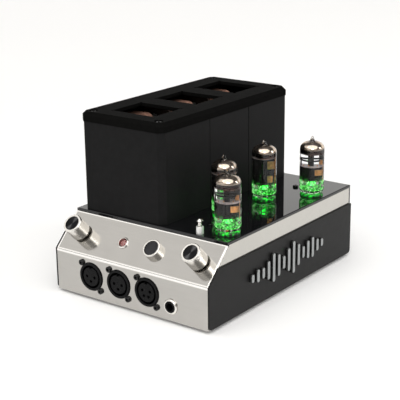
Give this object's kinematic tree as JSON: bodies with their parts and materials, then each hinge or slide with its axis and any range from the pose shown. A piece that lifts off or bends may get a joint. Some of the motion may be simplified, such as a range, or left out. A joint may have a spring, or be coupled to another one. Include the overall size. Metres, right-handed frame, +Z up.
{
  "type": "headphone amplifier",
  "caption": "Tabletop valve headphone amplifier: stainless case with a sloping control panel, black transformer cover, upright glass valves and balanced headphone sockets.",
  "frame": {"origin": "under the middle of the whole amplifier, on the surface it stands on", "axes": "+Z up, the control panel and headphone sockets face -Y, +X to the right seen from the front"},
  "size_m": [0.1602, 0.2258, 0.1464],
  "materials": {
    "stainless": "satin",
    "rear_black": "satin",
    "zinc_steel": "satin",
    "side_black": "satin",
    "deck_gloss": "gloss",
    "cover_black": "satin",
    "rubber": "matt",
    "screw_black": "satin",
    "lamination": "matt",
    "copper_wire": "enamelled",
    "glass_clear": "clear",
    "electrode_grey": "matt",
    "ceramic_black": "matt",
    "green_light": "lit",
    "chrome": "polished",
    "black_anodised": "spun",
    "red_jewel": "faceted",
    "socket_black": "satin",
    "contact_gold": "gold plated",
    "board_green": "satin",
    "capacitor_sleeve": "satin",
    "badge_black": "gloss",
    "badge_silver": "satin",
    "phono_white": "gloss"
  },
  "bodies": {
    "chassis": {"front_panel": "stainless", "chassis_shell": "stainless", "rear_panel": "rear_black", "top_sheet": "zinc_steel", "deck_plate": "deck_gloss", "side_plate_right": "side_black", "side_plate_left": "side_black", "feet": "rubber", "cover_body": "cover_black", "cover_lid": "cover_black", "lid_screws": "screw_black", "deck_screws": "screw_black", "transformer_cores": "lamination", "transformer_windings": "copper_wire", "transformer_brackets": "zinc_steel", "transformer_bolts": "zinc_steel", "valve_sockets": "ceramic_black", "valve_lights": "green_light", "volume_potentiometer": "zinc_steel", "load_switch": "zinc_steel", "panel_nuts": "chrome", "button_bezel": "chrome", "button_switch": "socket_black", "pilot_bezel": "chrome", "pilot_jewel": "red_jewel", "pilot_lamp": "phono_white", "toggle_bush": "chrome", "toggle_body": "socket_black", "xlr_shells": "socket_black", "xlr_inserts": "socket_black", "xlr_contacts": "contact_gold", "socket_screws": "screw_black", "headphone_jack": "socket_black", "rca_sockets": "contact_gold", "rca_insulators": "phono_white", "mains_inlet": "socket_black", "inlet_blades": "chrome", "badge_backs": "badge_black", "badge_faces": "badge_silver", "main_board": "board_green", "board_standoffs": "contact_gold", "capacitors": "capacitor_sleeve"},
    "volume_control": {"volume_knob": "chrome", "volume_knob_disc": "black_anodised", "volume_shaft": "zinc_steel"},
    "load_control": {"load_knob": "chrome", "load_knob_disc": "black_anodised", "load_shaft": "zinc_steel"},
    "push_button": {"button_cap": "black_anodised"},
    "power_toggle": {"toggle_lever": "chrome"},
    "fuse_tray": {"fuse_drawer": "socket_black"},
    "valve_1": {"valve_1_glass": "glass_clear", "valve_1_electrodes": "electrode_grey"},
    "valve_2": {"valve_2_glass": "glass_clear", "valve_2_electrodes": "electrode_grey"},
    "valve_3": {"valve_3_glass": "glass_clear", "valve_3_electrodes": "electrode_grey"},
    "valve_4": {"valve_4_glass": "glass_clear", "valve_4_electrodes": "electrode_grey"}
  },
  "joints": [
    {"name": "volume_turn", "type": "hinge", "parent": "chassis", "child": "volume_control", "pos_m": [0.0592, -0.09632, 0.05005], "axis": [0, -0.7071, 0.7071], "range_deg": [-150, 150]},
    {"name": "load_turn", "type": "hinge", "parent": "chassis", "child": "load_control", "pos_m": [-0.0592, -0.09632, 0.05005], "axis": [0, -0.7071, 0.7071], "range_deg": [-45, 45]},
    {"name": "button_press", "type": "slide", "parent": "chassis", "child": "push_button", "axis": [0, 0.7071, -0.7071], "range_m": [0, 0.002], "stiffness_N_per_m": 400, "springref_m": -0.001},
    {"name": "toggle_flip", "type": "hinge", "parent": "chassis", "child": "power_toggle", "pos_m": [0.0459, -0.07777, 0.0685], "axis": [1, 0, 0], "range_deg": [-12, 12]},
    {"name": "fuse_tray_slide", "type": "slide", "parent": "chassis", "child": "fuse_tray", "axis": [0, 1, 0], "range_m": [0, 0.018]},
    {"name": "valve_1_pull", "type": "slide", "parent": "chassis", "child": "valve_1", "axis": [0, 0, 1], "range_m": [0, 0.03]},
    {"name": "valve_2_pull", "type": "slide", "parent": "chassis", "child": "valve_2", "axis": [0, 0, 1], "range_m": [0, 0.03]},
    {"name": "valve_3_pull", "type": "slide", "parent": "chassis", "child": "valve_3", "axis": [0, 0, 1], "range_m": [0, 0.03]},
    {"name": "valve_4_pull", "type": "slide", "parent": "chassis", "child": "valve_4", "axis": [0, 0, 1], "range_m": [0, 0.03]}
  ]
}
